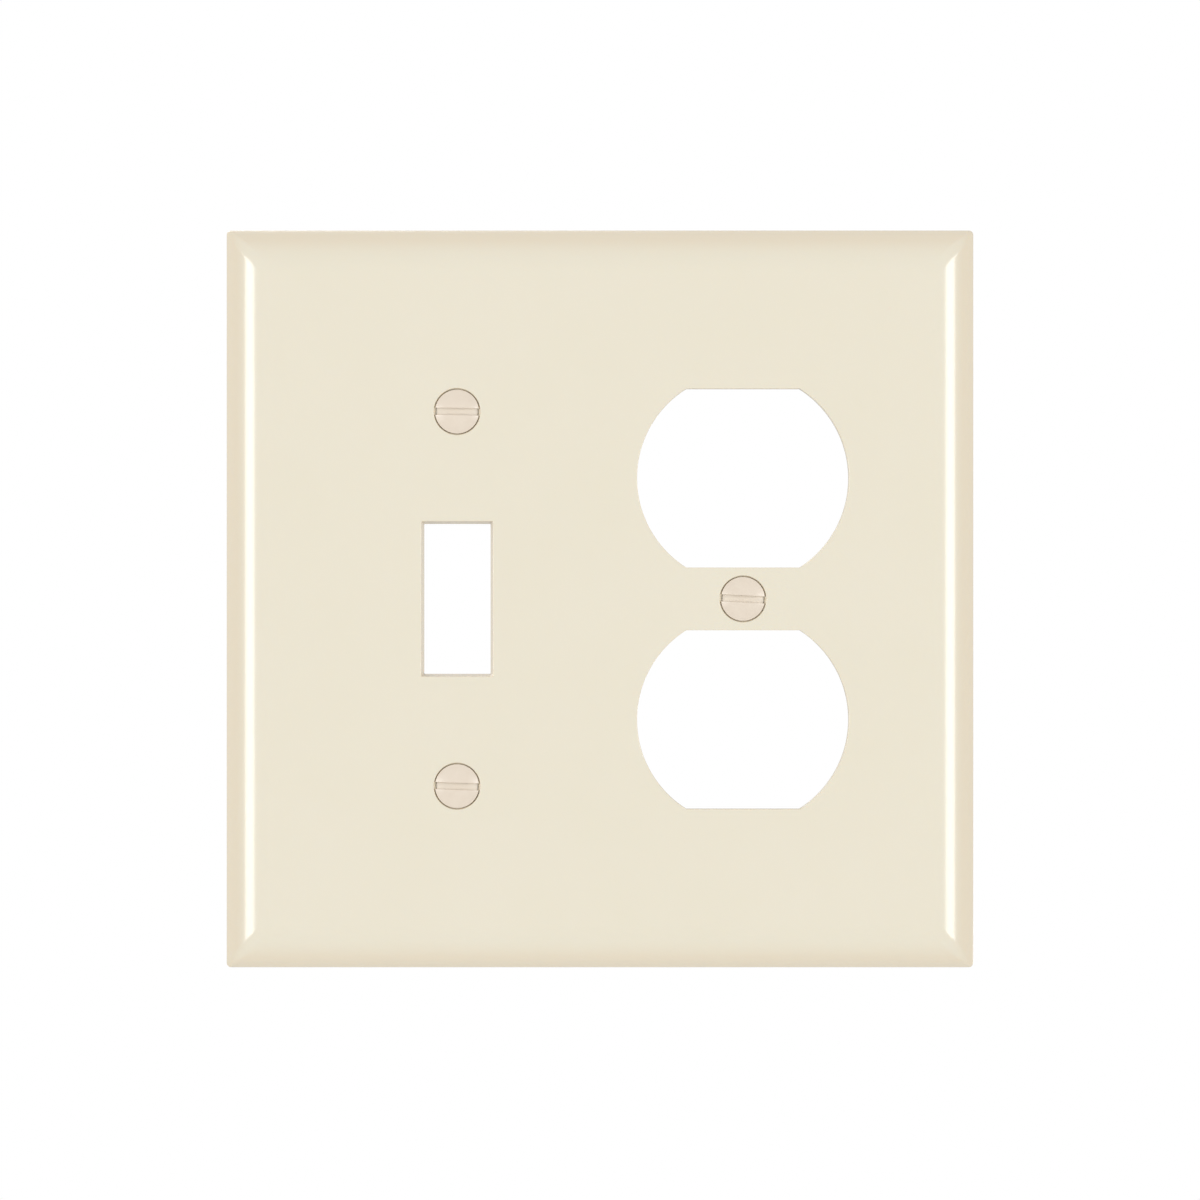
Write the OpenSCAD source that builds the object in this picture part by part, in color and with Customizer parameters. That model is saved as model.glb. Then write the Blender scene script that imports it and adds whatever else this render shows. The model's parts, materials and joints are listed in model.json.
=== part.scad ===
// Two-gang combination wall plate: one toggle opening, two receptacle openings and
// three captive oval-head screws.
// The plate stands upright with its face towards -Y. The origin is the centre of the
// plate on the wall plane, so everything with Y above zero is inside the wall.

/* [Plate] */
// Overall width
plate_w = 120.65; // [100:0.05:180]
// Overall height
plate_h = 119.06; // [96:0.01:180]
// How far the face stands off the wall
plate_depth = 6; // [5:0.1:7.5]
// Thickness of the face and of the rolled border
face_t = 2.3; // [1.8:0.05:2.8]
// Width of the rolled border, from the outer edge to the flat of the face
roll_w = 7; // [6:0.1:9]
// Height of the straight side wall before the border starts to roll
side_land = 1.6; // [1.4:0.1:2]
// Radius where the side wall turns into the roll
edge_r = 0.8; // [0.4:0.05:1.1]
// Radius of the four upright corners
corner_r = 0.7; // [0.4:0.1:4]

/* [Gangs] */
// Distance between the centre lines of the two gangs
gang_pitch = 46.04; // [38:0.02:56]
// Width of the toggle opening at its back
toggle_w = 10.7; // [9:0.1:13]
// Height of the toggle opening at its back
toggle_h = 24.2; // [20:0.1:30]
// How far each side of the toggle opening leans out from its back to the face
toggle_draft = 0.4; // [0.1:0.05:0.6]
// Distance between the two screws of the toggle gang
toggle_screw_pitch = 60.32; // [50:0.01:74]
// Diameter of each receptacle opening across its round sides
recept_d = 34.1; // [28:0.1:41]
// Height of each receptacle opening between its flats
recept_flats = 28.8; // [24:0.1:30]
// Land left on each side of the screw between the receptacle openings
bridge_land = 1.3; // [1:0.05:3]
// Break on the front edges of the openings
edge_break = 0.15; // [0.1:0.05:0.4]

/* [Screws] */
// Major diameter of the thread
thread_d = 3.505; // [2.9:0.005:4.3]
// Diameter of the relieved neck under the head
neck_d = 2.7; // [2.2:0.05:3]
// Diameter of the oval head
head_d = 7.1; // [5.9:0.05:8.6]
// Included angle of the head's cone
head_angle = 82; // [80:1:90]
// Thickness of the rim of the head
head_rim = 0.2; // [0.1:0.05:0.4]
// Height of the domed crown above the rim
crown_h = 0.9; // [0.6:0.05:1.2]
// Length from the rim of the head to the tip
screw_len = 12.7; // [10:0.1:20]
// Width of the driver slot
slot_w = 1.1; // [0.8:0.05:1.4]
// Depth of the driver slot from the top of the crown
slot_depth = 1.35; // [1:0.05:1.6]
// Turn of the upper toggle screw's slot from level
upper_slot_angle = -1; // [-90:0.5:90]
// Turn of the lower toggle screw's slot from level
lower_slot_angle = -2; // [-90:0.5:90]
// Turn of the receptacle screw's slot from level
recept_slot_angle = -3; // [-90:0.5:90]
// Length of the chamfer on the tip
tip_chamfer = 0.6; // [0.3:0.1:1]

/* [Fits] */
// Gap all round the screw head in its countersink
head_gap = 0.2; // [0.1:0.05:0.4]
// How far the rim of the head sits below the face
head_sink = 0.1; // [0:0.05:0.3]
// Gap round the thread in the screw hole
shank_gap = 0.2; // [0.1:0.05:0.4]
// Gap round the neck in the web that keeps the screw captive
web_gap = 0.2; // [0.1:0.05:0.3]
// Thickness of that web
web_t = 0.6; // [0.4:0.1:1]
// Bare neck between the cone of the head and the web
web_lead = 0.3; // [0.2:0.05:0.6]
// Free play between the web and the first thread
web_play = 0.5; // [0.3:0.1:1]
// Space left behind the ribs and collars for the device straps
strap_space = 1.9; // [1.5:0.1:2.4]

/* [Back] */
// Thickness of the ribs and gussets
rib_t = 1.2; // [0.8:0.1:1.6]
// Height of the cross ribs above and below the centre line
rib_row = 45; // [38:1:50]
// Distance between the gussets on the side walls
gusset_pitch = 30; // [20:1:40]
// Reach of the gussets along the back of the face
gusset_l = 5; // [3:0.5:7]
// Wall of the collars round the openings
collar_t = 1.2; // [0.8:0.1:2]
// Wall of the screw bosses outside the countersink
boss_wall = 1.05; // [0.8:0.05:2]

/* [Hidden] */
$fn = 96;
past = 1;                     // how far a cut runs past the surface it opens

// The rolled border is an arc that is level with the face on its inner side.
roll_drop = plate_depth - side_land;
roll_r = (roll_w * roll_w + roll_drop * roll_drop) / (2 * roll_drop);
roll_z = plate_depth - roll_r;
edge_z = roll_z + sqrt(pow(roll_r - edge_r, 2) - pow(roll_w - edge_r, 2));
tangent = roll_r / (roll_r - edge_r);
tangent_x = tangent * (roll_w - edge_r);
tangent_z = roll_z + tangent * (edge_z - roll_z);
cavity_r = roll_r - face_t;
cavity_z = plate_depth - face_t;

toggle_x = -gang_pitch / 2;
recept_x = gang_pitch / 2;
head_slope = tan(head_angle / 2);
sink_d = head_d + 2 * head_gap;
sink_lip = head_sink + head_rim;
shank_hole_d = thread_d + 2 * shank_gap;
web_hole_d = neck_d + 2 * web_gap;
boss_d = sink_d + 2 * boss_wall;
recept_pitch = recept_flats + sink_d + 2 * bridge_land;

// Heights along a screw, from the wall plane out to the face.
rim_z = plate_depth - head_sink;
crown_z = rim_z + crown_h;
crown_r = (pow(head_d / 2, 2) + crown_h * crown_h) / (2 * crown_h);
tip_z = rim_z - screw_len;
head_cone_z = rim_z - head_rim - (head_d - neck_d) / 2 / head_slope;
web_z = head_cone_z - web_lead - web_t;
neck_end_z = web_z - web_play;
thread_z = neck_end_z - (thread_d - neck_d) / 2;
tip_d = thread_d - 2 * tip_chamfer;

// Pieces are drawn lying on their backs, face up, and then stood upright.
module stand() {
    rotate([90, 0, 0]) children();
}

module rounded_rect(w, h, r) {
    square([w - 2 * r, h], center = true);
    square([w, h - 2 * r], center = true);
    for (x = [-1, 1], y = [-1, 1])
        translate([x * (w / 2 - r), y * (h / 2 - r)]) circle(r);
}

// Section across the whole plate: flat face, rolled borders, short side walls.
module roll_section(half) {
    flat = half - roll_w;
    polygon([
        [-half, 0], [half, 0], [half, edge_z], [flat + tangent_x, tangent_z],
        [flat, plate_depth], [-flat, plate_depth],
        [-flat - tangent_x, tangent_z], [-half, edge_z]
    ]);
    for (side = [0, 1]) mirror([side, 0]) {
        translate([half - edge_r, edge_z]) circle(edge_r);
        intersection() {
            translate([flat, roll_z]) circle(roll_r);
            translate([flat, 0]) square([tangent_x, plate_depth]);
        }
    }
}

// Section of the hollow behind the face, one wall thickness inside the outer section.
module hollow_section(half) {
    flat = half - roll_w;
    reach = flat + cavity_r;
    translate([-flat, -past]) square([2 * flat, cavity_z + past]);
    translate([-reach, -past]) square([2 * reach, past + max(0, roll_z)]);
    for (side = [-1, 1]) translate([side * flat, roll_z]) circle(cavity_r);
}

// Crossing a section of the width with one of the height mitres the corners.
module mitred(reach) {
    intersection() {
        rotate([90, 0, 0]) linear_extrude(2 * reach, center = true) children(0);
        rotate([90, 0, 90]) linear_extrude(2 * reach, center = true) children(1);
    }
}

module shell() {
    intersection() {
        mitred(max(plate_w, plate_h)) {
            roll_section(plate_w / 2);
            roll_section(plate_h / 2);
        }
        linear_extrude(plate_depth + past) rounded_rect(plate_w, plate_h, corner_r);
    }
}

module receptacle_outline(d, flats) {
    intersection() {
        circle(d = d);
        square([2 * d, flats], center = true);
    }
}

module at_receptacles() {
    for (y = [-1, 1]) translate([recept_x, y * recept_pitch / 2]) children();
}

module at_screws() {
    for (y = [-1, 1]) translate([toggle_x, y * toggle_screw_pitch / 2]) children();
    translate([recept_x, 0]) children();
}

// Section of a cut that leans out by its draft and widens to a break at the face.
module flared_slot(w, draft = 0) {
    mouth_w = w + 2 * draft;
    mouth_z = plate_depth - edge_break;
    grow = edge_break + past;
    polygon([
        [-w / 2, -past], [w / 2, -past], [w / 2, strap_space], [mouth_w / 2, mouth_z],
        [mouth_w / 2 + grow, mouth_z + grow], [-mouth_w / 2 - grow, mouth_z + grow],
        [-mouth_w / 2, mouth_z], [-w / 2, strap_space]
    ]);
}

module toggle_cut() {
    translate([toggle_x, 0]) mitred(toggle_h) {
        flared_slot(toggle_w, toggle_draft);
        flared_slot(toggle_h, toggle_draft);
    }
}

module receptacle_cut() {
    grow = edge_break + past;
    at_receptacles() intersection() {
        union() {
            translate([0, 0, -past]) cylinder(d = recept_d, h = plate_depth + 2 * past);
            translate([0, 0, plate_depth - edge_break])
                cylinder(d1 = recept_d, d2 = recept_d + 2 * grow, h = grow);
        }
        rotate([90, 0, 90]) linear_extrude(2 * recept_d, center = true)
            flared_slot(recept_flats);
    }
}

// Countersink, clearance hole and the thin web that keeps the screw captive.
module screw_cut() {
    lip_z = plate_depth - sink_lip;
    cone_z = lip_z - (sink_d - shank_hole_d) / 2 / head_slope;
    rotate_extrude() polygon([
        [0, -past], [shank_hole_d / 2, -past], [shank_hole_d / 2, web_z],
        [web_hole_d / 2, web_z], [web_hole_d / 2, web_z + web_t],
        [shank_hole_d / 2, web_z + web_t], [shank_hole_d / 2, cone_z],
        [sink_d / 2, lip_z], [sink_d / 2, plate_depth + past], [0, plate_depth + past]
    ]);
}

module gusset(wall_x) {
    translate([wall_x, 0]) rotate([90, 0, 0])
        linear_extrude(rib_t, center = true)
            polygon([
                [-gusset_l, cavity_z], [-gusset_l, cavity_z + face_t / 2],
                [face_t, cavity_z + face_t / 2], [face_t, side_land / 2],
                [-face_t / 2, side_land / 2]
            ]);
}

module gussets() {
    side_x = plate_w / 2 - face_t;
    end_y = plate_h / 2 - face_t;
    for (side = [0, 180], y = [-1, 0, 1])
        rotate([0, 0, side]) translate([0, y * gusset_pitch]) gusset(side_x);
    for (end = [90, 270], x = [-1, 1])
        rotate([0, 0, end]) translate([0, x * gang_pitch]) gusset(end_y);
}

// Everything that stands on the back of the face, inside the hollow.
module back_structure() {
    translate([0, 0, strap_space]) linear_extrude(plate_depth) {
        square([rib_t, plate_h], center = true);
        for (y = [-1, 1]) translate([0, y * rib_row]) square([plate_w, rib_t], center = true);
        translate([toggle_x, 0])
            square([toggle_w + 2 * collar_t, toggle_h + 2 * collar_t], center = true);
        at_receptacles()
            receptacle_outline(recept_d + 2 * collar_t, recept_flats + 2 * collar_t);
    }
    translate([0, 0, web_z]) linear_extrude(plate_depth) at_screws() circle(d = boss_d);
    gussets();
}

module wall_plate() {
    color([0.929, 0.902, 0.831]) stand() difference() {
        shell();
        difference() {
            mitred(max(plate_w, plate_h)) {
                hollow_section(plate_w / 2);
                hollow_section(plate_h / 2);
            }
            back_structure();
        }
        toggle_cut();
        receptacle_cut();
        at_screws() screw_cut();
    }
}

// Domed crown, rim, countersunk cone, relieved neck, thread and chamfered tip.
module screw_body() {
    intersection() {
        translate([0, 0, crown_z - crown_r]) sphere(crown_r);
        translate([0, 0, rim_z - head_rim]) cylinder(d = head_d, h = head_rim + crown_h + past);
    }
    rotate_extrude() polygon([
        [0, rim_z], [head_d / 2, rim_z], [head_d / 2, rim_z - head_rim],
        [neck_d / 2, head_cone_z], [neck_d / 2, neck_end_z], [thread_d / 2, thread_z],
        [thread_d / 2, tip_z + tip_chamfer], [tip_d / 2, tip_z], [0, tip_z]
    ]);
}

module screw(x, y, slot_angle) {
    color([0.937, 0.886, 0.827]) stand() translate([x, y]) difference() {
        screw_body();
        translate([0, 0, crown_z + past - (slot_depth + past) / 2]) rotate([0, 0, slot_angle])
            cube([head_d + 2 * past, slot_w, slot_depth + past], center = true);
    }
}

module toggle_screw_upper() {
    screw(toggle_x, toggle_screw_pitch / 2, upper_slot_angle);
}

module toggle_screw_lower() {
    screw(toggle_x, -toggle_screw_pitch / 2, lower_slot_angle);
}

module receptacle_screw() {
    screw(recept_x, 0, recept_slot_angle);
}

wall_plate();
toggle_screw_upper();
toggle_screw_lower();
receptacle_screw();
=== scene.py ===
import json
import math

import bmesh
import bpy
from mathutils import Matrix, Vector


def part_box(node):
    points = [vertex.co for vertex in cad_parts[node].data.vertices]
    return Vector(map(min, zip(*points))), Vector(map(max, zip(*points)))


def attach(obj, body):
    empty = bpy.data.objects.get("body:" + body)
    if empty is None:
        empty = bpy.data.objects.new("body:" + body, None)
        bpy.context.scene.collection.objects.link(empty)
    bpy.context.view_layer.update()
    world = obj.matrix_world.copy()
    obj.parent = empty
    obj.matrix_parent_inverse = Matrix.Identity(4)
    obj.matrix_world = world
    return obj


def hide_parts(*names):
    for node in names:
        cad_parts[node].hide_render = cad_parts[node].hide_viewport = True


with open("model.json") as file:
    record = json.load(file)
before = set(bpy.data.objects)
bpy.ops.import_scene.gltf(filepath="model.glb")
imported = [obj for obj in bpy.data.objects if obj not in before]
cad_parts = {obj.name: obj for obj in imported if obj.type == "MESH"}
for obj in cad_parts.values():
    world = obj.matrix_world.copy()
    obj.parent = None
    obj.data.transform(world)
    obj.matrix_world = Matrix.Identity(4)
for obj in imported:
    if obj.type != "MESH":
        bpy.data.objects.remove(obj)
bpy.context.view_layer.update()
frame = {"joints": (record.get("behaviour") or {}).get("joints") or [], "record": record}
mm = 0.001

# ---------------------------------------------------------------- wall plate
# One injection moulding in light almond polycarbonate: a flat glossy face that rolls over into
# short side walls, with three openings, and a back cored out to an even wall that leaves ribs,
# collars, bosses and gussets standing. Three screws hold it to the switch and the receptacle.
plate_low, plate_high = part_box("wall_plate")
half_w = (plate_high.x - plate_low.x) / 2
half_h = (plate_high.z - plate_low.z) / 2
depth = plate_high.y - plate_low.y
roll_w = 7 * mm
side_land = 1.6 * mm
edge_r = 0.8 * mm
rim_break = 0.15 * mm
corner_r = 0.7 * mm
mitre_r = 1.5 * mm
corner_steps = 10
roll_steps = 28
edge_steps = 6
fine_steps = 4

# The border's section is a big arc down to the side wall, blended by a small edge arc.
roll_drop = depth - side_land
roll_r = (roll_w ** 2 + roll_drop ** 2) / (2 * roll_drop)
roll_out = depth - roll_r
edge_out = roll_out + math.sqrt((roll_r - edge_r) ** 2 - (roll_w - edge_r) ** 2)
roll_start = math.atan2(edge_out - roll_out, roll_w - edge_r)


def spread(first, last, count):
    """Evenly spaced values from first to last, both included."""
    return [first + (last - first) * i / (count - 1) for i in range(count)]


def quarter_turn(count):
    """Angles through a quarter turn."""
    return spread(0, math.pi / 2, count)


def rounded_rectangle(half_x, half_z, radius, steps):
    """Outline of a rectangle with rounded corners, as (x, z) pairs."""
    outline = []
    for quarter, (sx, sz) in enumerate([(1, 1), (-1, 1), (-1, -1), (1, -1)]):
        cx, cz = sx * (half_x - radius), sz * (half_z - radius)
        for turn in spread(quarter * math.pi / 2, (quarter + 1) * math.pi / 2, steps):
            outline.append((cx + radius * math.cos(turn), cz + radius * math.sin(turn)))
    return outline


def ring_at(outline, out, centre=(0, 0)):
    """An outline's points at a distance out from the wall."""
    return [Vector((centre[0] + x, -out, centre[1] + z)) for x, z in outline]


def loft(name, rings):
    """A closed solid that passes through rings of points, one after another."""
    bm = bmesh.new()
    loops = [[bm.verts.new(p) for p in ring] for ring in rings]
    for a, b in zip(loops, loops[1:]):
        for i in range(len(a)):
            j = (i + 1) % len(a)
            bm.faces.new((a[i], a[j], b[j], b[i]))
    bm.faces.new(loops[0])
    bm.faces.new(loops[-1])
    bmesh.ops.recalc_face_normals(bm, faces=bm.faces)
    mesh = bpy.data.meshes.new(name)
    bm.to_mesh(mesh)
    bm.free()
    piece = bpy.data.objects.new(name, mesh)
    bpy.context.scene.collection.objects.link(piece)
    return piece


def carve(piece, tool, operation="DIFFERENCE"):
    """Cuts a tool's shape out of a piece, or joins it on with UNION, and uses the tool up."""
    cut = piece.modifiers.new("cut", "BOOLEAN")
    cut.operation = operation
    cut.solver = "EXACT"
    cut.object = tool
    shaped = bpy.data.meshes.new_from_object(
        piece.evaluated_get(bpy.context.evaluated_depsgraph_get()))
    piece.modifiers.clear()
    piece.data = shaped
    bpy.data.objects.remove(tool)


def border_ring(inset, out):
    """The outline at one step; its corners ease from edge to mitre over a third of the roll."""
    share = min(1, inset / (roll_w / 3))
    radius = corner_r + (mitre_r - corner_r) * share
    outline = rounded_rectangle(half_w - inset, half_h - inset, radius, corner_steps)
    return ring_at(outline, out)


# Steps round the outside of the border: (inset from the outer edge, distance out from the wall).
border = [(rim_break * (1 - math.sin(t)), rim_break * (1 - math.cos(t)))
          for t in quarter_turn(fine_steps)]
border += [(edge_r - edge_r * math.cos(t), edge_out + edge_r * math.sin(t))
           for t in spread(0, roll_start, edge_steps)[:-1]]
border += [(roll_w - roll_r * math.cos(t), roll_out + roll_r * math.sin(t))
           for t in spread(roll_start, math.pi / 2, roll_steps)]
wall_plate = loft("wall_plate_moulding", [border_ring(*step) for step in border])

# The back: what stands in the hollow has a rounded free edge, as the mould's steel leaves it.
wall_t = 2.3 * mm
strap_space = 1.9 * mm
free_edge_r = 0.25 * mm
free_edge_steps = 5
rib_t = 1.2 * mm
rib_row = 45 * mm
rib_end_r = 0.3 * mm
collar_t = 1.2 * mm
past = 1 * mm
hollow_r = roll_r - wall_t
hollow_out = depth - wall_t
hollow_steps = 16


def hollow_inset(out):
    return roll_w - math.sqrt(max(0, hollow_r ** 2 - (out - roll_out) ** 2))


rim_inset = hollow_inset(0)
rim_land = 1.5 * free_edge_r
hollow_start = math.asin((rim_land - roll_out) / hollow_r)
hollow_path = [(rim_inset - free_edge_r, -past)]
hollow_path += [(rim_inset - free_edge_r * (1 - math.sin(t)), free_edge_r * (1 - math.cos(t)))
                for t in quarter_turn(fine_steps)]
for t in spread(hollow_start, math.pi / 2, hollow_steps):
    hollow_path.append((hollow_inset(roll_out + hollow_r * math.sin(t)),
                        roll_out + hollow_r * math.sin(t)))
hollow = loft("hollow", [
    ring_at(rounded_rectangle(half_w - inset, half_h - inset, mitre_r, corner_steps), out)
    for inset, out in hollow_path])


def standing(name, outline, foot, centre):
    """Something left standing in the hollow: outline(grow) is its plan, foot its free end."""
    rings = [ring_at(outline(-free_edge_r * (1 - math.sin(t))),
                     foot + free_edge_r * (1 - math.cos(t)), centre)
             for t in quarter_turn(free_edge_steps)]
    rings.append(ring_at(outline(0), depth, centre))
    return loft(name, rings)


def bar(length, width):
    return lambda grow: rounded_rectangle(length / 2 + grow, width / 2 + grow,
                                          rib_end_r, fine_steps)


def disc(radius, steps=96):
    return lambda grow: [((radius + grow) * math.cos(t), (radius + grow) * math.sin(t))
                         for t in spread(0, 2 * math.pi, steps + 1)[:-1]]


carve(hollow, standing("rib_middle", bar(rib_t, 2 * half_h), strap_space, (0, 0)))
for side in (-1, 1):
    carve(hollow, standing("rib_across", bar(2 * half_w, rib_t), strap_space, (0, side * rib_row)))

# The openings: a rectangle with leaning sides for the toggle, and for each receptacle face a
# circle cut off flat above and below. Their lips are rounded, and a collar stiffens each.
toggle_w = 10.7 * mm
toggle_h = 24.2 * mm
toggle_corner_r = 0.12 * mm
toggle_corner_steps = 5
toggle_draft = 0.4 * mm
receptacle_d = 34.1 * mm
receptacle_flats = 28.8 * mm
lip_r = 0.15 * mm
arc_steps = 40
mount_at = {m["name"]: Vector(m["pos_m"]) for m in frame["record"]["mounts"]}
toggle_at = mount_at["toggle_opening"]
receptacles_at = [mount_at["upper_receptacle_opening"], mount_at["lower_receptacle_opening"]]


def toggle_outline(grow):
    return rounded_rectangle(toggle_w / 2 + grow, toggle_h / 2 + grow,
                             toggle_corner_r, toggle_corner_steps)


def receptacle_outline(grow):
    radius = receptacle_d / 2 + grow
    end = math.asin((receptacle_flats / 2 + grow) / radius)
    right = [(radius * math.cos(t), radius * math.sin(t)) for t in spread(-end, end, arc_steps)]
    return right + [(-x, -z) for x, z in right]


def grown(outline, by):
    return lambda grow: outline(grow + by)


def opening(name, outline, draft, centre):
    """The cut for an opening: its walls lean out by a draft and are rounded at both ends."""
    back = [(free_edge_r * (1 - math.sin(t)), strap_space + free_edge_r * (1 - math.cos(t)))
            for t in quarter_turn(fine_steps)]
    front = [(draft + lip_r * (1 - math.cos(t)), depth - lip_r + lip_r * math.sin(t))
             for t in quarter_turn(edge_steps)]
    steps = [(free_edge_r, -past)] + back + front + [(draft + lip_r, depth + past)]
    return loft(name, [ring_at(outline(grow), out, centre) for grow, out in steps])


openings = [("toggle_cut", toggle_outline, toggle_draft, toggle_at)]
openings += [("receptacle_cut", receptacle_outline, 0, at) for at in receptacles_at]
for name, outline, draft, at in openings:
    carve(hollow, standing("collar", grown(outline, collar_t), strap_space, (at.x, at.z)))

# A boss backs each countersink, down to the thin web that keeps the screw captive.
screw_names = {
    "toggle_screw_upper": ("upper_toggle_screw", "upper_toggle_screw_turn"),
    "toggle_screw_lower": ("lower_toggle_screw", "lower_toggle_screw_turn"),
    "receptacle_screw": ("centre_receptacle_screw", "receptacle_screw_turn"),
}
joint_at = {j["name"]: Vector(j["pos_m"]) for j in frame["joints"]}
head_d = 7.1 * mm
head_rim = 0.2 * mm
head_sink = 0.1 * mm
head_gap = 0.2 * mm
head_angle = 82
head_slope = math.tan(math.radians(head_angle / 2))
thread_d = 3.505 * mm
neck_d = 2.7 * mm
shank_gap = 0.2 * mm
web_gap = 0.2 * mm
web_t = 0.6 * mm
web_lead = 0.3 * mm
boss_wall = 1.05 * mm
sink_lip_r = 0.12 * mm

sink_r = head_d / 2 + head_gap
shank_hole_r = thread_d / 2 + shank_gap
web_hole_r = neck_d / 2 + web_gap
rim_out = depth - head_sink
cone_end_out = rim_out - head_rim - (head_d - neck_d) / 2 / head_slope
web_out = cone_end_out - web_lead - web_t
boss_r = sink_r + boss_wall

for body, joint in screw_names.values():
    at = joint_at[joint]
    carve(hollow, standing("boss", disc(boss_r), web_out, (at.x, at.z)))

# Gussets tie the side walls to the face: three on each side wall, two on each end wall.
gusset_pitch = 30 * mm
gusset_reach = 5 * mm
gang_pitch = receptacles_at[0].x - toggle_at.x


def gusset(wall, along, turn):
    """A triangular web on the wall that faces turn, at a place along that wall."""
    inner = wall - wall_t
    profile = [(inner - gusset_reach, hollow_out), (inner - gusset_reach, depth),
               (wall, depth), (wall, side_land / 2), (inner, side_land / 2)]
    c, s = math.cos(turn), math.sin(turn)
    rings = []
    for side in (-rib_t / 2, rib_t / 2):
        rings.append([Vector((r * c - (along + side) * s, -out, r * s + (along + side) * c))
                      for r, out in profile])
    return loft("gusset", rings)


for turn in (0, math.pi):
    for along in (-gusset_pitch, 0, gusset_pitch):
        carve(hollow, gusset(half_w, along, turn))
for turn in (math.pi / 2, -math.pi / 2):
    for along in (-gang_pitch, gang_pitch):
        carve(hollow, gusset(half_h, along, turn))

# Witness marks of the ejector pins, pressed very slightly into the back of the face. Their
# places are in millimetres from the plate's middle.
pin_mark_r = 2 * mm
pin_mark_steps = 48
pin_mark_depth = 0.07 * mm
pin_mark_root = 0.3 * mm
pin_places = [(x, z) for z in (49, -49) for x in (30, -30)]
pin_places += [(-46, z) for z in (15, -15)]
pin_places += [(47.5, z) for z in (19.5, -19.5)]
pin_places += [(x, z) for z in (40, -40) for x in (23, -23)]
mark_outline = disc(pin_mark_r, pin_mark_steps)(0)
for x, z in pin_places:
    mark = loft("pin_mark", [ring_at(mark_outline, out, (x * mm, z * mm)) for out in
                             (hollow_out - pin_mark_root, hollow_out + pin_mark_depth)])
    carve(hollow, mark, "UNION")

# The hollow, the openings and the countersunk screw holes are cut out of the moulding.
carve(wall_plate, hollow)
for name, outline, draft, at in openings:
    carve(wall_plate, opening(name, outline, draft, (at.x, at.z)))
sink_lip_out = depth - head_sink - head_rim
sink_end_out = sink_lip_out - (sink_r - shank_hole_r) / head_slope
hole_steps = [(shank_hole_r, -past), (shank_hole_r, web_out), (web_hole_r, web_out),
              (web_hole_r, web_out + web_t), (shank_hole_r, web_out + web_t),
              (shank_hole_r, sink_end_out), (sink_r, sink_lip_out)]
hole_steps += [(sink_r + sink_lip_r * (1 - math.cos(t)), depth - sink_lip_r * (1 - math.sin(t)))
               for t in quarter_turn(free_edge_steps)]
hole_steps.append((sink_r + sink_lip_r, depth + past))
for body, joint in screw_names.values():
    at = joint_at[joint]
    rings = [ring_at(disc(radius)(0), out, (at.x, at.z)) for radius, out in hole_steps]
    carve(wall_plate, loft("screw_hole", rings))


def shade(piece, sharp_angle):
    """Smooth shading that breaks at edges sharper than an angle."""
    piece.data.shade_smooth()
    piece.data.set_sharp_from_angle(angle=math.radians(sharp_angle))
    even = piece.modifiers.new("even shading", "WEIGHTED_NORMAL")
    even.keep_sharp = True


shade(wall_plate, 35)
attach(wall_plate, "plate")
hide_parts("wall_plate")


# Its finish: polycarbonate with a little light passing under its skin.
def linear(hex_code):
    """An sRGB hex colour as the linear colour that a shader takes."""
    parts = [int(hex_code[i:i + 2], 16) / 255 for i in (1, 3, 5)]
    return [p / 12.92 if p <= 0.04045 else ((p + 0.055) / 1.055) ** 2.4 for p in parts] + [1]


def add_node(tree, kind, settings=None, links=None):
    """Adds a node, sets its properties and inputs by name, and links inputs from sockets."""
    node = tree.nodes.new(kind)
    for key, value in (settings or {}).items():
        if isinstance(key, str) and hasattr(node, key):
            setattr(node, key, value)
        else:
            node.inputs[key].default_value = value
    for key, socket in (links or {}).items():
        tree.links.new(socket, node.inputs[key])
    return node


def new_material(name):
    """An empty node material, with its node tree."""
    material = bpy.data.materials.new(name)
    material.use_nodes = True
    material.node_tree.nodes.clear()
    return material, material.node_tree


# Inputs and output of a colour Mix node, which go by number because their names repeat.
SHARE, COLOUR_A, COLOUR_B, MIXED = 0, 6, 7, 2


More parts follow.
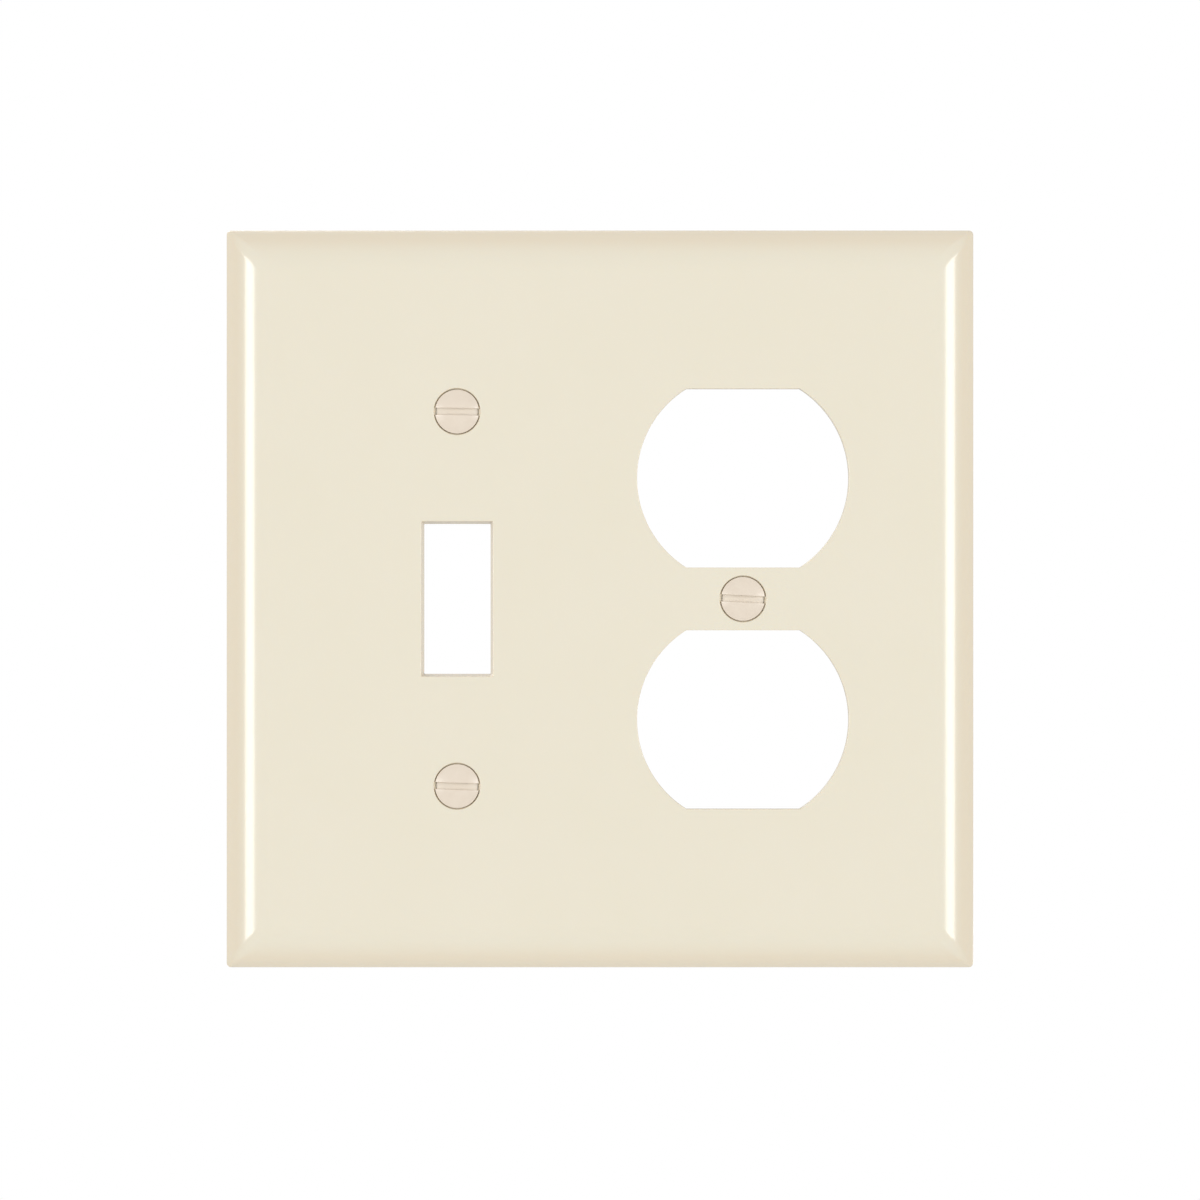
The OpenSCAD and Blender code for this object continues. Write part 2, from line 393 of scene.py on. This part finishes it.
def almond_plastic(name, roughness_low, roughness_high, grain, grain_height):
    """Moulded plastic with 14 mm flow clouds, painted warm shade on the rolled border and a fine
    skin.
    """
    material, tree = new_material(name)
    place = add_node(tree, "ShaderNodeTexCoord").outputs["Object"]
    flow = add_node(tree, "ShaderNodeTexNoise", {"Scale": 1 / (14 * mm), "Detail": 3},
                    {"Vector": place})
    flat = add_node(tree, "ShaderNodeMix",
                    {"data_type": "RGBA", COLOUR_A: linear("#E7E0CC"), COLOUR_B: linear("#E9E2D0")},
                    {SHARE: flow.outputs["Fac"]})
    # Painted shade: where the normal turns away from the face, over the rolled border, the colour
    # goes darker and warmer to stand in for the border's shade.
    facing = add_node(tree, "ShaderNodeSeparateXYZ", None,
                      {"Vector": add_node(tree, "ShaderNodeNewGeometry").outputs["Normal"]})
    squareness = add_node(tree, "ShaderNodeMath", {"operation": "ABSOLUTE"},
                          {0: facing.outputs["Y"]})
    painted_border_shade = add_node(tree, "ShaderNodeMapRange", {"From Min": 0.95, "From Max": 0.74},
                        {"Value": squareness.outputs[0]})
    tint = add_node(tree, "ShaderNodeMix", {"data_type": "RGBA", COLOUR_B: linear("#E8DCC5")},
                    {SHARE: painted_border_shade.outputs["Result"], COLOUR_A: flat.outputs[MIXED]})
    speck = add_node(tree, "ShaderNodeTexNoise", {"Scale": 1 / (0.45 * mm), "Detail": 2},
                     {"Vector": place})
    gloss = add_node(tree, "ShaderNodeMapRange",
                     {"From Min": 0.3, "From Max": 0.7, "To Min": roughness_low,
                      "To Max": roughness_high}, {"Value": speck.outputs["Fac"]})
    # Shrinkage leaves the skin wavy by a few microns over 5 mm.
    wave = add_node(tree, "ShaderNodeTexNoise", {"Scale": 1 / (5 * mm), "Detail": 1},
                    {"Vector": place})
    soft = add_node(tree, "ShaderNodeBump", {"Strength": 0.25, "Distance": 0.02 * mm},
                    {"Height": wave.outputs["Fac"]})
    fine = add_node(tree, "ShaderNodeTexNoise", {"Scale": 1 / grain, "Detail": 2},
                    {"Vector": place})
    skin = add_node(tree, "ShaderNodeBump", {"Strength": 0.3, "Distance": grain_height},
                    {"Height": fine.outputs["Fac"], "Normal": soft.outputs["Normal"]})
    surface = add_node(tree, "ShaderNodeBsdfPrincipled",
                       {"IOR": 1.58, "Subsurface Weight": 0.06, "Subsurface Scale": 0.6 * mm,
                        "Subsurface Radius": (1.0, 0.75, 0.45)},
                       {"Base Color": tint.outputs[MIXED], "Roughness": gloss.outputs["Result"],
                        "Normal": skin.outputs["Normal"]})
    add_node(tree, "ShaderNodeOutputMaterial", None, {"Surface": surface.outputs["BSDF"]})
    return material


# The face comes from a polished mould: sharp long reflections with a faint orange peel.
polished_face = almond_plastic("polycarbonate_polished_mould", 0.17, 0.23, 0.8 * mm, 0.004 * mm)
# The back comes off spark-eroded steel: an even satin, its grain drawn at 0.18 mm to show.
cored_back = almond_plastic("polycarbonate_spark_eroded_core", 0.42, 0.5, 0.18 * mm, 0.02 * mm)
wall_plate.data.materials.clear()
wall_plate.data.materials.append(polished_face)
wall_plate.data.materials.append(cored_back)

# The satin covers what looks back at the wall, and the sides of all that stands in the hollow.
outer_skin = 0.5 * mm
face_skin = 0.1 * mm
edge_on = 0.3
for face in wall_plate.data.polygons:
    inside = max(abs(face.center.x) - half_w, abs(face.center.z) - half_h) < -outer_skin
    behind_face = -face.center.y < hollow_out - face_skin
    in_hollow = inside and behind_face and face.normal.y > -edge_on
    if face.normal.y > edge_on or in_hollow:
        face.material_index = 1

# ---------------------------------------------------------------- three screws
# No. 6-32 oval-head machine screws of steel, cold-headed, thread-rolled and zinc-plated. Their
# heads are sprayed to match the plate, and the neck under each sits loose in the plate's web.
crown_h = 0.9 * mm
screw_len = 12.7 * mm
slot_w = 1.1 * mm
slot_depth = 1.35 * mm
slot_lip_r = 0.1 * mm
# How far each slot was left off level, in degrees.
slot_turn = {"toggle_screw_upper": -1, "toggle_screw_lower": -2, "receptacle_screw": -3}
slot_steps = 41
# A unified thread's depth, and the flats on its crest and root, are shares of its pitch.
thread_pitch = 25.4 * mm / 32
thread_depth = 0.6134 * thread_pitch
crest_flat = 1 / 8
root_flat = 1 / 4
rings_per_pitch = 12
tip_chamfer = 0.6 * mm
rim_break_r = 0.03 * mm
dome_edge_w = 0.04 * mm
dome_edge_h = 0.05 * mm
dome_end = 0.02
dome_steps = 20
neck_step = 0.02 * mm
web_play = 0.5 * mm
turn_steps = 72

crown_out = rim_out + crown_h
crown_r = ((head_d / 2) ** 2 + crown_h ** 2) / (2 * crown_h)
slot_floor_out = crown_out - slot_depth
tip_out = rim_out - screw_len
neck_end_out = web_out - web_play
thread_end_out = neck_end_out - (thread_d - neck_d) / 2
thread_r = thread_d / 2
root_r = thread_r - thread_depth


def thread_ring(out):
    """One ring of the 60 degree thread, which climbs one pitch in a turn."""
    limit = thread_r
    if out < tip_out + tip_chamfer:
        limit = thread_r - (tip_out + tip_chamfer - out)
    if out > thread_end_out:
        limit = thread_r - (out - thread_end_out)
    ring = []
    for i in range(turn_steps):
        turn = 2 * math.pi * i / turn_steps
        along = ((out - tip_out) / thread_pitch - i / turn_steps) % 1
        climb = (abs(along - 0.5) * 2 - root_flat) / (1 - root_flat - crest_flat)
        radius = min(root_r + thread_depth * min(1, max(0, climb)), limit)
        ring.append((radius * math.cos(turn), radius * math.sin(turn)))
    return ring


def round_ring(radius):
    return disc(radius, turn_steps)(0)


def slot_section(along):
    """The slot's section at a place along it, from floor to lips that follow the dome."""
    top = crown_out - crown_r + math.sqrt(max(0, crown_r ** 2 - along ** 2 - (slot_w / 2) ** 2))
    side = [(slot_w / 2, slot_floor_out), (slot_w / 2, top - slot_lip_r)]
    side += [(slot_w / 2 + slot_lip_r * (1 - math.cos(t)), top - slot_lip_r * (1 - math.sin(t)))
             for t in quarter_turn(free_edge_steps)[1:]]
    side.append((slot_w / 2 + slot_lip_r, crown_out + past))
    return side + [(-across, out) for across, out in reversed(side)]


screws = []
for node, (body, joint) in screw_names.items():
    at = (joint_at[joint].x, joint_at[joint].z)
    thread_rings = 1 + round((neck_end_out - tip_out) / thread_pitch * rings_per_pitch)
    rings = [ring_at(thread_ring(out), out, at) for out in
             spread(tip_out, neck_end_out, thread_rings)]
    rings += [ring_at(round_ring(neck_d / 2), out, at) for out in
              (neck_end_out + neck_step, cone_end_out)]
    rings += [ring_at(round_ring(head_d / 2 - rim_break_r), rim_out - head_rim - rim_break_r, at),
              ring_at(round_ring(head_d / 2), rim_out - head_rim, at),
              ring_at(round_ring(head_d / 2), rim_out - dome_edge_h, at)]
    dome = spread(math.asin((head_d / 2 - dome_edge_w) / crown_r), dome_end, dome_steps)
    rings += [ring_at(round_ring(crown_r * math.sin(t)), crown_out - crown_r * (1 - math.cos(t)), at)
              for t in dome]
    screw = loft(node + "_threaded", rings)

    turn = math.radians(slot_turn[node])
    c, s = math.cos(turn), math.sin(turn)
    slot_rings = [[Vector((at[0] + along * c - across * s, -out, at[1] + along * s + across * c))
                   for across, out in slot_section(along)]
                  for along in spread(-head_d / 2 - past, head_d / 2 + past, slot_steps)]
    carve(screw, loft("driver_slot", slot_rings))
    shade(screw, 30)
    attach(screw, body)
    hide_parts(node)
    screws.append(screw)


def sprayed_enamel(name, thin_hex, thick_hex, peel_height):
    """Baked enamel: a soft gloss with a fine orange peel, slightly uneven in thickness."""
    material, tree = new_material(name)
    place = add_node(tree, "ShaderNodeTexCoord").outputs["Object"]
    cloud = add_node(tree, "ShaderNodeTexNoise", {"Scale": 1 / (1.2 * mm), "Detail": 3},
                     {"Vector": place})
    tint = add_node(tree, "ShaderNodeMix",
                    {"data_type": "RGBA", COLOUR_A: linear(thin_hex), COLOUR_B: linear(thick_hex)},
                    {SHARE: cloud.outputs["Fac"]})
    peel = add_node(tree, "ShaderNodeTexNoise", {"Scale": 1 / (0.35 * mm), "Detail": 1},
                    {"Vector": place})
    skin = add_node(tree, "ShaderNodeBump", {"Strength": 0.4, "Distance": peel_height},
                    {"Height": peel.outputs["Fac"]})
    gloss = add_node(tree, "ShaderNodeMapRange", {"To Min": 0.26, "To Max": 0.36},
                     {"Value": cloud.outputs["Fac"]})
    surface = add_node(tree, "ShaderNodeBsdfPrincipled", {"IOR": 1.5},
                       {"Base Color": tint.outputs[MIXED], "Roughness": gloss.outputs["Result"],
                        "Normal": skin.outputs["Normal"]})
    add_node(tree, "ShaderNodeOutputMaterial", None, {"Surface": surface.outputs["BSDF"]})
    return material


# The head's thin coat is a touch pinker than the plate; the slot's floor is painted paler, as
# painted light that offsets the shade down in the slot.
enamel = sprayed_enamel("baked_enamel_sprayed", "#E3D5C4", "#E8DCCC", 0.01 * mm)
slot_painted_light_enamel = sprayed_enamel("baked_enamel_slot_painted_light", "#ECE3D5", "#F1E9DC", 0.004 * mm)

# Zinc plate over rolled thread: bright grey metal, blotched a little by the passivation, with
# rolling lines round the shank. The lines are drawn 0.75 mm apart so that they show. The wave
# texture repeats every pi / 10 at scale 1.
line_gap = 0.75 * mm
zinc, tree = new_material("zinc_plated_rolled_steel")
place = add_node(tree, "ShaderNodeTexCoord").outputs["Object"]
bloom = add_node(tree, "ShaderNodeTexNoise", {"Scale": 1 / (2.5 * mm), "Detail": 3},
                 {"Vector": place})
tint = add_node(tree, "ShaderNodeMix",
                {"data_type": "RGBA", COLOUR_A: linear("#C3C7CA"), COLOUR_B: linear("#D6D8D6")},
                {SHARE: bloom.outputs["Fac"]})
lines = add_node(tree, "ShaderNodeTexWave",
                 {"bands_direction": "Y", "Scale": math.pi / 10 / line_gap, "Distortion": 1.5,
                  "Detail": 2}, {"Vector": place})
skin = add_node(tree, "ShaderNodeBump", {"Strength": 0.25, "Distance": 0.006 * mm},
                {"Height": lines.outputs["Fac"]})
gloss = add_node(tree, "ShaderNodeMapRange", {"To Min": 0.25, "To Max": 0.4},
                 {"Value": bloom.outputs["Fac"]})
surface = add_node(tree, "ShaderNodeBsdfPrincipled", {"Metallic": 1.0},
                   {"Base Color": tint.outputs[MIXED], "Roughness": gloss.outputs["Result"],
                    "Normal": skin.outputs["Normal"]})
add_node(tree, "ShaderNodeOutputMaterial", None, {"Surface": surface.outputs["BSDF"]})

# The spray reaches just under the rim, and the slot's floor is known by its height; it gets the
# paler enamel, painted light against the slot's shade.
spray_end_out = rim_out - head_rim - 0.4 * mm
slot_floor_play = 0.01 * mm
for screw in screws:
    screw.data.materials.clear()
    for coat in (enamel, zinc, slot_painted_light_enamel):
        screw.data.materials.append(coat)
    for face in screw.data.polygons:
        if -face.center.y < spray_end_out:
            face.material_index = 1
        # Painted light: the slot's floor takes the paler coat.
        elif abs(-face.center.y - slot_floor_out) < slot_floor_play:
            face.material_index = 2

# ---------------------------------------------------------------- floor
# A painted studio floor far below the plate, wide enough to fill the view from any height.
# Eggshell paint, rolled on in clouds about 170 mm across, gives an even and pale ground.
floor_drop = 1.2
floor_radius = 10.0
floor_t = 0.01
floor_paint, tree = new_material("eggshell_floor_paint")
place = add_node(tree, "ShaderNodeTexCoord").outputs["Object"]
clouds = add_node(tree, "ShaderNodeTexNoise", {"Scale": 1 / (170 * mm), "Detail": 3},
                  {"Vector": place})
tint = add_node(tree, "ShaderNodeMix",
                {"data_type": "RGBA", COLOUR_A: linear("#F5F5F3"), COLOUR_B: linear("#F9F9F8")},
                {SHARE: clouds.outputs["Fac"]})
surface = add_node(tree, "ShaderNodeBsdfPrincipled", {"Roughness": 0.7},
                   {"Base Color": tint.outputs[MIXED]})
add_node(tree, "ShaderNodeOutputMaterial", None, {"Surface": surface.outputs["BSDF"]})
floor = loft("floor", [[Vector((x, y, z)) for x, y in disc(floor_radius)(0)]
                       for z in (-floor_drop - floor_t, -floor_drop)])
floor.data.materials.append(floor_paint)

# ---------------------------------------------------------------- light and camera
# A white surround, and two soft boxes to the left and right whose reflections run down the
# rolled borders. One box hangs overhead, and two behind light the plate's back.
world = bpy.data.worlds.new("studio")
bpy.context.scene.world = world
world.use_nodes = True
tree = world.node_tree
tree.nodes.clear()
path = add_node(tree, "ShaderNodeLightPath")
lit = add_node(tree, "ShaderNodeBackground", {"Color": (1, 1, 1, 1), "Strength": 0.575})
seen = add_node(tree, "ShaderNodeBackground", {"Color": (1, 1, 1, 1), "Strength": 1.0})
both = add_node(tree, "ShaderNodeMixShader", None,
                {0: path.outputs["Is Camera Ray"], 1: lit.outputs[0], 2: seen.outputs[0]})
add_node(tree, "ShaderNodeOutputWorld", None, {"Surface": both.outputs[0]})


def soft_box(name, azimuth, elevation, far, width, height, radiance):
    """A rectangular soft light that faces the plate, as bright all over as its radiance."""
    lamp = bpy.data.lights.new(name, "AREA")
    lamp.shape = "RECTANGLE"
    lamp.size = width
    lamp.size_y = height
    lamp.energy = radiance * math.pi * width * height
    box = bpy.data.objects.new(name, lamp)
    a, e = math.radians(azimuth), math.radians(elevation)
    back = Vector((math.sin(a) * math.cos(e), -math.cos(a) * math.cos(e), math.sin(e)))
    box.location = back * far
    box.rotation_mode = "QUATERNION"
    box.rotation_quaternion = (-back).to_track_quat("-Z", "Y")
    box.visible_camera = False
    bpy.context.scene.collection.objects.link(box)


# Azimuth and elevation in degrees, then distance, width, height and radiance.
soft_box("left_box", -51.5, 2, 1.2, 0.48, 0.47, 7.4)
soft_box("right_box", 51.5, 2, 1.2, 0.48, 0.47, 7.4)
soft_box("overhead_box", 0, 90, 1.9, 3.4, 3.4, 0.2)
soft_box("back_box", -150, 35, 1.6, 1.2, 1.2, 2.6)
soft_box("back_fill_box", 150, -12, 2.2, 0.6, 0.6, 5.0)

# The camera looks straight at the face from 1.2 m, and its view is 193.2 mm wide there.
camera_far = 1.2
camera_drop = 0.18 * mm
field = 193.2 * mm
camera_data = bpy.data.cameras.new("camera")
camera_data.sensor_width = 36
camera_data.lens = camera_data.sensor_width * camera_far / field
camera_data.clip_end = 20
camera = bpy.data.objects.new("camera", camera_data)
camera.location = (0, -depth - camera_far, -camera_drop)
camera.rotation_euler = (math.pi / 2, 0, 0)
bpy.context.scene.collection.objects.link(camera)
bpy.context.scene.camera = camera
bpy.context.scene.view_settings.view_transform = "Standard"
